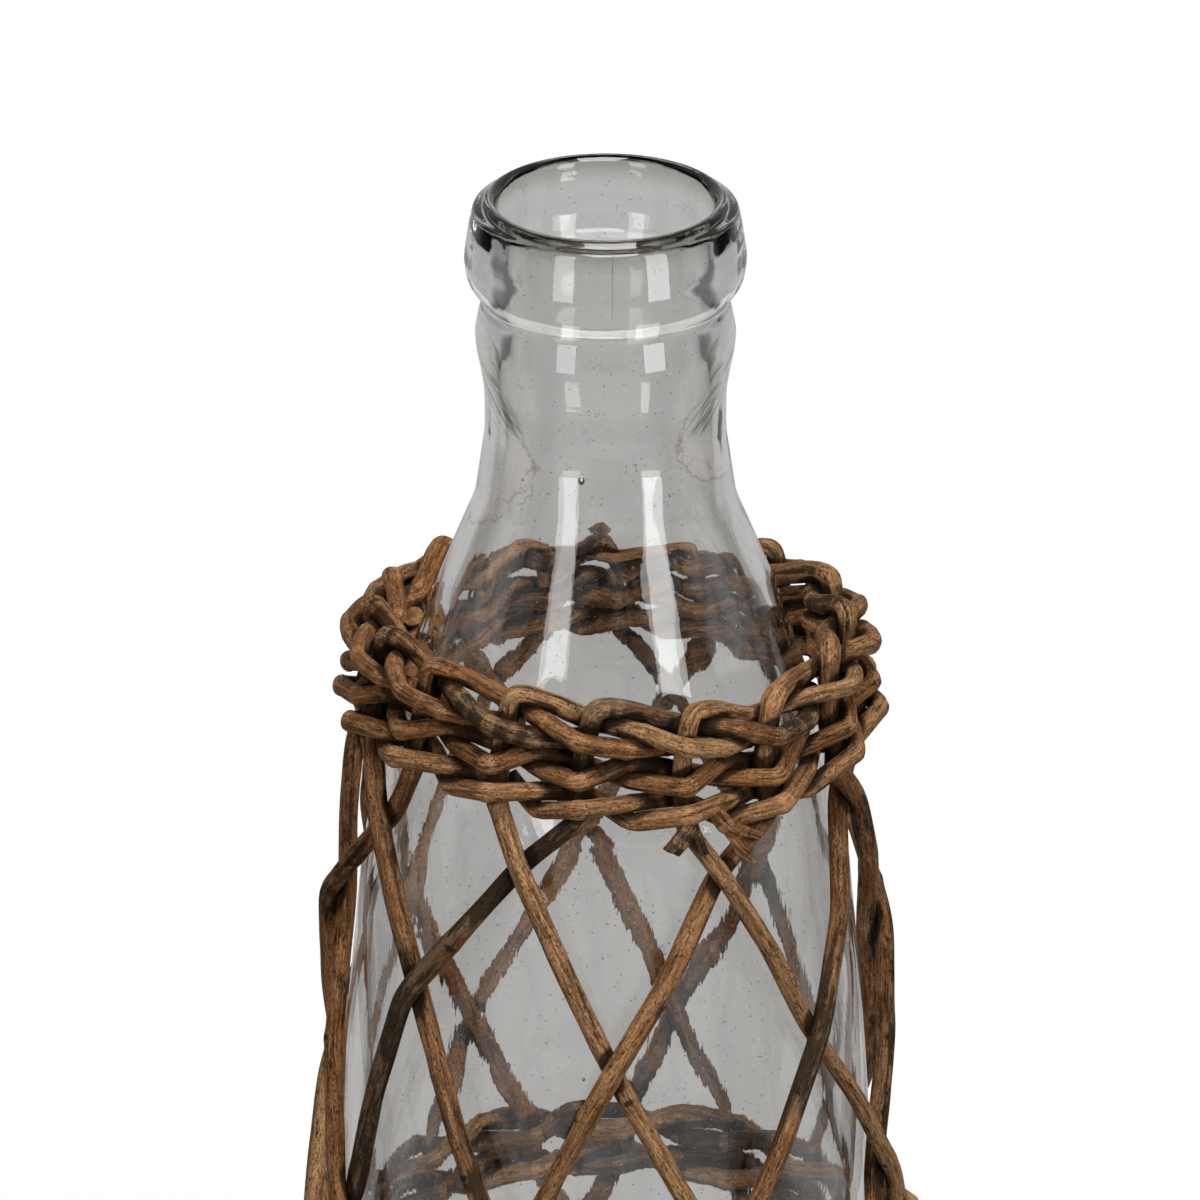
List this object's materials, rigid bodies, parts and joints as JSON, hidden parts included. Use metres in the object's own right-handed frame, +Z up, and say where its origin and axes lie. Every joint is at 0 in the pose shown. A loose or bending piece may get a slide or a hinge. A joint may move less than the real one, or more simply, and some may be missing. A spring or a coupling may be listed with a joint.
{
  "type": "wicker carafe",
  "caption": "Thick glass carafe with a ringed mouth and sloping shoulders, held in an open basket of bent willow rods with a rolled collar.",
  "frame": {"origin": "centre of the basket's standing plane, on the bottle's axis", "axes": "+Z up along the bottle's axis; -Y faces the camera of the reference view; +X to its right"},
  "size_m": [0.1532, 0.1532, 0.345],
  "materials": {
    "glass": "clear thick glass with a faint grey-green tint, glossy",
    "willow": "brown bark-on willow rods, half matt, with dark mottling",
    "base_stick": "brown willow sticks, matt"
  },
  "bodies": {
    "root": {"glass_bottle": "glass", "stake_01": "willow", "stake_02": "willow", "stake_03": "willow", "stake_04": "willow", "stake_05": "willow", "stake_06": "willow", "stake_07": "willow", "stake_08": "willow", "stake_09": "willow", "stake_10": "willow", "stake_11": "willow", "stake_12": "willow", "stake_13": "willow", "stake_14": "willow", "stake_15": "willow", "stake_16": "willow", "collar_row_1_weaver_1": "willow", "collar_row_1_weaver_2": "willow", "collar_row_2_weaver_1": "willow", "collar_row_2_weaver_2": "willow", "waist_row_1_weaver_1": "willow", "waist_row_1_weaver_2": "willow", "waist_row_2_weaver_1": "willow", "waist_row_2_weaver_2": "willow", "foot_row_1_weaver_1": "willow", "foot_row_1_weaver_2": "willow", "foot_row_2_weaver_1": "willow", "foot_row_2_weaver_2": "willow", "base_stick_1": "base_stick", "base_stick_2": "base_stick", "base_stick_3": "base_stick", "base_stick_4": "base_stick", "base_stick_5": "base_stick", "base_stick_6": "base_stick", "base_stick_7": "base_stick", "base_stick_8": "base_stick", "base_inner_weaver_1": "willow", "base_inner_weaver_2": "willow", "base_outer_weaver_1": "willow", "base_outer_weaver_2": "willow"}
  },
  "joints": []
}
